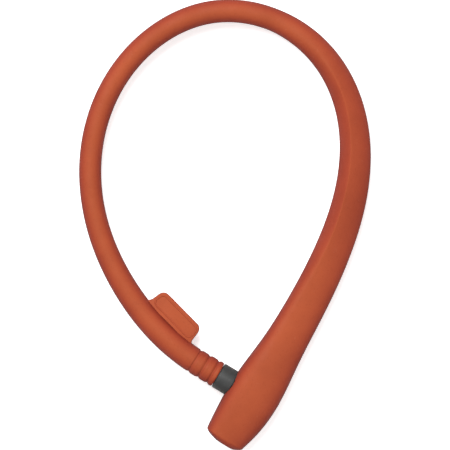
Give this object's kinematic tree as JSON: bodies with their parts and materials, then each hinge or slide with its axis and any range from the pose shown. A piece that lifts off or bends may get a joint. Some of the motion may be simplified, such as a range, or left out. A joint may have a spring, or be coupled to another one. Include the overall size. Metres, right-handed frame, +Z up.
{
  "type": "silicone-sleeved cable lock",
  "caption": "Cable lock in a silicone sleeve, closed into a loop, with a key cylinder in a thick tapered head and a grey-collared plug that enters the side of the head.",
  "frame": {"origin": "middle of the closed lock's footprint, on the table it lies on", "axes": "+Z up, at right angles to the loop; +Y along the lock head towards the cable; +X towards the head's outer side, so the plug leaves the head along -X"},
  "size_m": [0.1938, 0.2456, 0.0258],
  "materials": {
    "silicone": "matte moulded silicone, burnt orange",
    "steel": "plated steel",
    "zinc": "die-cast zinc, satin",
    "brass": "machined",
    "collar_grey": "satin dark grey",
    "seal_rubber": "matte black"
  },
  "bodies": {
    "lock_head": {"head_jacket": "silicone", "lock_housing": "zinc", "cylinder_barrel": "zinc", "barrel_pin": "steel", "socket_bush": "steel", "socket_seal": "seal_rubber", "head_ferrule": "steel", "head_ferrule_pin": "steel", "bolt_spring": "steel", "rope_head": "steel"},
    "key_cylinder": {"cylinder_plug": "brass", "lock_cam": "steel", "cam_clip": "steel"},
    "bolt": {"locking_bolt": "steel"},
    "cable_link_01": {"sleeve_link_01": "silicone", "rope_link_01": "steel"},
    "cable_link_02": {"sleeve_link_02": "silicone", "rope_link_02": "steel"},
    "cable_link_03": {"sleeve_link_03": "silicone", "rope_link_03": "steel"},
    "cable_link_04": {"sleeve_link_04": "silicone", "rope_link_04": "steel"},
    "cable_link_05": {"sleeve_link_05": "silicone", "rope_link_05": "steel"},
    "cable_link_06": {"sleeve_link_06": "silicone", "rope_link_06": "steel"},
    "cable_link_07": {"sleeve_link_07": "silicone", "rope_link_07": "steel"},
    "cable_link_08": {"sleeve_link_08": "silicone", "rope_link_08": "steel"},
    "cable_link_09": {"sleeve_link_09": "silicone", "rope_link_09": "steel"},
    "cable_link_10": {"sleeve_link_10": "silicone", "rope_link_10": "steel"},
    "cable_link_11": {"sleeve_link_11": "silicone", "rope_link_11": "steel"},
    "cable_link_12": {"sleeve_link_12": "silicone", "rope_link_12": "steel", "plug_collar": "collar_grey", "plug_pin": "steel", "plug_ferrule": "steel", "plug_ferrule_pin": "steel"}
  },
  "joints": [
    {"name": "cable_bend_01", "type": "hinge", "parent": "lock_head", "child": "cable_link_01", "pos_m": [0.08042, -0.0285, 0.01292], "axis": [0, 0, 1], "range_deg": [0, 16], "stiffness_Nm_per_rad": 0.4},
    {"name": "cable_bend_02", "type": "hinge", "parent": "cable_link_01", "child": "cable_link_02", "pos_m": [0.07696, 0.01179, 0.01292], "axis": [0, 0, 1], "range_deg": [0, 6.54]},
    {"name": "cable_bend_03", "type": "hinge", "parent": "cable_link_02", "child": "cable_link_03", "pos_m": [0.06726, 0.05099, 0.01292], "axis": [0, 0, 1], "range_deg": [-4.44, 0]},
    {"name": "cable_bend_04", "type": "hinge", "parent": "cable_link_03", "child": "cable_link_04", "pos_m": [0.04701, 0.08576, 0.01292], "axis": [0, 0, 1], "range_deg": [-12.03, 0]},
    {"name": "cable_bend_05", "type": "hinge", "parent": "cable_link_04", "child": "cable_link_05", "pos_m": [0.01473, 0.10958, 0.01292], "axis": [0, 0, 1], "range_deg": [-14.2, 0]},
    {"name": "cable_bend_06", "type": "hinge", "parent": "cable_link_05", "child": "cable_link_06", "pos_m": [-0.02485, 0.11489, 0.01292], "axis": [0, 0, 1], "range_deg": [-11.72, 0]},
    {"name": "cable_bend_07", "type": "hinge", "parent": "cable_link_06", "child": "cable_link_07", "pos_m": [-0.06157, 0.0991, 0.01292], "axis": [0, 0, 1], "range_deg": [-7, 0]},
    {"name": "cable_bend_08", "type": "hinge", "parent": "cable_link_07", "child": "cable_link_08", "pos_m": [-0.08434, 0.06625, 0.01292], "axis": [0, 0, 1], "range_deg": [-2.06, 0]},
    {"name": "cable_bend_09", "type": "hinge", "parent": "cable_link_08", "child": "cable_link_09", "pos_m": [-0.0902, 0.0265, 0.01292], "axis": [0, 0, 1], "range_deg": [0, 2.38]},
    {"name": "cable_bend_10", "type": "hinge", "parent": "cable_link_09", "child": "cable_link_10", "pos_m": [-0.08016, -0.01243, 0.01292], "axis": [0, 0, 1], "range_deg": [0, 6.23]},
    {"name": "cable_bend_11", "type": "hinge", "parent": "cable_link_10", "child": "cable_link_11", "pos_m": [-0.05697, -0.04535, 0.01292], "axis": [0, 0, 1], "range_deg": [0, 9.34]},
    {"name": "cable_bend_12", "type": "hinge", "parent": "cable_link_11", "child": "cable_link_12", "pos_m": [-0.02476, -0.06957, 0.01292], "axis": [0, 0, 1], "range_deg": [0, 10.95]},
    {"name": "key_turn", "type": "hinge", "parent": "lock_head", "child": "key_cylinder", "pos_m": [0.08098, -0.12019, 0.01292], "axis": [0, 1, 0], "range_deg": [0, 90]},
    {"name": "bolt_slide", "type": "slide", "parent": "lock_head", "child": "bolt", "axis": [0, 1, 0], "range_m": [0, 0.00221], "deforming": ["bolt_spring"]}
  ],
  "couplings": [
    {"joint": "cable_bend_02", "follows": "cable_bend_01", "ratio": 0.408},
    {"joint": "cable_bend_03", "follows": "cable_bend_01", "ratio": -0.277},
    {"joint": "cable_bend_04", "follows": "cable_bend_01", "ratio": -0.751},
    {"joint": "cable_bend_05", "follows": "cable_bend_01", "ratio": -0.887},
    {"joint": "cable_bend_06", "follows": "cable_bend_01", "ratio": -0.732},
    {"joint": "cable_bend_07", "follows": "cable_bend_01", "ratio": -0.437},
    {"joint": "cable_bend_08", "follows": "cable_bend_01", "ratio": -0.128},
    {"joint": "cable_bend_09", "follows": "cable_bend_01", "ratio": 0.148},
    {"joint": "cable_bend_10", "follows": "cable_bend_01", "ratio": 0.389},
    {"joint": "cable_bend_11", "follows": "cable_bend_01", "ratio": 0.583},
    {"joint": "cable_bend_12", "follows": "cable_bend_01", "ratio": 0.684},
    {"joint": "bolt_slide", "follows": "key_turn", "m_per_rad": 0.0014006}
  ]
}
